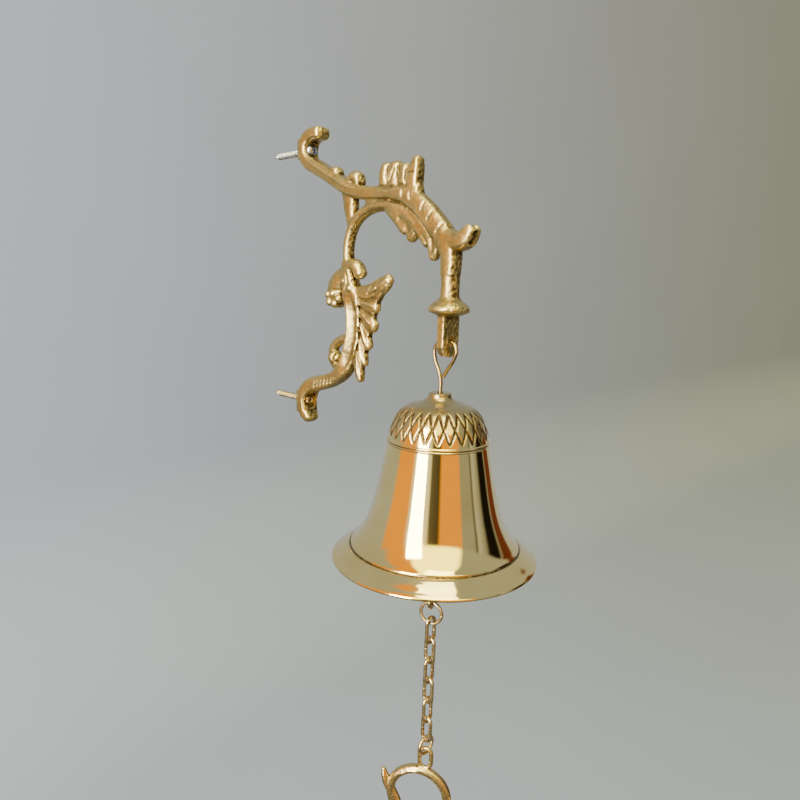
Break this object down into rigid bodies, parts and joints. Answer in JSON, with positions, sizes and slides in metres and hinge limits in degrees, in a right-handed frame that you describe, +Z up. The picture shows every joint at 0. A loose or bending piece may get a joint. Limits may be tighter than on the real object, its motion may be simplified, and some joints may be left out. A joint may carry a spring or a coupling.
{
  "type": "wall-hung temple bell",
  "caption": "Flared brass bell on a wire hook under a leafy cast scroll bracket for a wall, with a clapper and a pull chain ending in a cast scroll.",
  "frame": {"origin": "on the flat back of the upper wall pad, in the bracket's middle plane, 5 mm above the upper screw's axis", "axes": "+Z up, +Y into the wall, +X along the wall to the right as seen by a person facing it; the bracket lies in the plane X = 0"},
  "size_m": [0.0744, 0.1407, 0.2725],
  "materials": {
    "cast_brass": "satin cast brass, brushed on the high spots and brown in the recesses",
    "polished_brass": "mirror polished",
    "brass_wire": "drawn wire, bright",
    "pull_brass": "satin cast brass",
    "screw_steel": "bright zinc"
  },
  "bodies": {
    "bracket": {"bracket": "cast_brass", "upper_screw": "screw_steel", "lower_screw": "screw_steel"},
    "hook": {"bell_hook": "brass_wire"},
    "bell": {"bell_shell": "polished_brass"},
    "clapper_link": {"clapper_link": "brass_wire"},
    "clapper": {"clapper_rod": "brass_wire", "clapper_ball": "cast_brass"},
    "clapper_ring": {"clapper_ring": "brass_wire"},
    "chain_link_1": {"chain_link_1": "brass_wire"},
    "chain_link_2": {"chain_link_2": "brass_wire"},
    "chain_link_3": {"chain_link_3": "brass_wire"},
    "chain_link_4": {"chain_link_4": "brass_wire"},
    "chain_link_5": {"chain_link_5": "brass_wire"},
    "chain_link_6": {"chain_link_6": "brass_wire"},
    "pull_ring": {"pull_ring": "brass_wire"},
    "pull": {"pull": "pull_brass"}
  },
  "joints": [
    {"name": "hook_swing", "type": "hinge", "parent": "bracket", "child": "hook", "pos_m": [0, -0.084, -0.0766], "axis": [0, 1, 0], "range_deg": [-30, 30]},
    {"name": "bell_turn", "type": "hinge", "parent": "hook", "child": "bell", "pos_m": [0, -0.0815, -0.096], "axis": [0, 0, 1], "continuous": true},
    {"name": "clapper_link_swing", "type": "hinge", "parent": "hook", "child": "clapper_link", "pos_m": [0, -0.0815, -0.1074], "axis": [0, 1, 0], "range_deg": [-16, 16]},
    {"name": "clapper_swing", "type": "hinge", "parent": "clapper_link", "child": "clapper", "pos_m": [0, -0.0815, -0.11312], "axis": [1, 0, 0], "range_deg": [-20, 20]},
    {"name": "clapper_ring_swing", "type": "hinge", "parent": "clapper", "child": "clapper_ring", "pos_m": [0, -0.0815, -0.1759], "axis": [0.9272, 0.3746, 0], "range_deg": [-25, 25]},
    {"name": "chain_link_1_swing", "type": "hinge", "parent": "clapper_ring", "child": "chain_link_1", "pos_m": [0, -0.0815, -0.18175], "axis": [0.3746, -0.9272, 0], "range_deg": [-25, 25]},
    {"name": "chain_link_2_swing", "type": "hinge", "parent": "chain_link_1", "child": "chain_link_2", "pos_m": [0, -0.0815, -0.1901], "axis": [1, 0, 0], "range_deg": [-25, 25]},
    {"name": "chain_link_3_swing", "type": "hinge", "parent": "chain_link_2", "child": "chain_link_3", "pos_m": [0, -0.0815, -0.1984], "axis": [0, 1, 0], "range_deg": [-25, 25]},
    {"name": "chain_link_4_swing", "type": "hinge", "parent": "chain_link_3", "child": "chain_link_4", "pos_m": [0, -0.0815, -0.2067], "axis": [1, 0, 0], "range_deg": [-25, 25]},
    {"name": "chain_link_5_swing", "type": "hinge", "parent": "chain_link_4", "child": "chain_link_5", "pos_m": [0, -0.0815, -0.215], "axis": [0, 1, 0], "range_deg": [-25, 25]},
    {"name": "chain_link_6_swing", "type": "hinge", "parent": "chain_link_5", "child": "chain_link_6", "pos_m": [0, -0.0815, -0.2233], "axis": [1, 0, 0], "range_deg": [-25, 25]},
    {"name": "pull_ring_swing", "type": "hinge", "parent": "chain_link_6", "child": "pull_ring", "pos_m": [0, -0.0815, -0.2316], "axis": [0, 1, 0], "range_deg": [-25, 25]},
    {"name": "pull_swing", "type": "hinge", "parent": "pull_ring", "child": "pull", "pos_m": [0, -0.0815, -0.2368], "axis": [1, 0, 0], "range_deg": [-25, 25]}
  ]
}
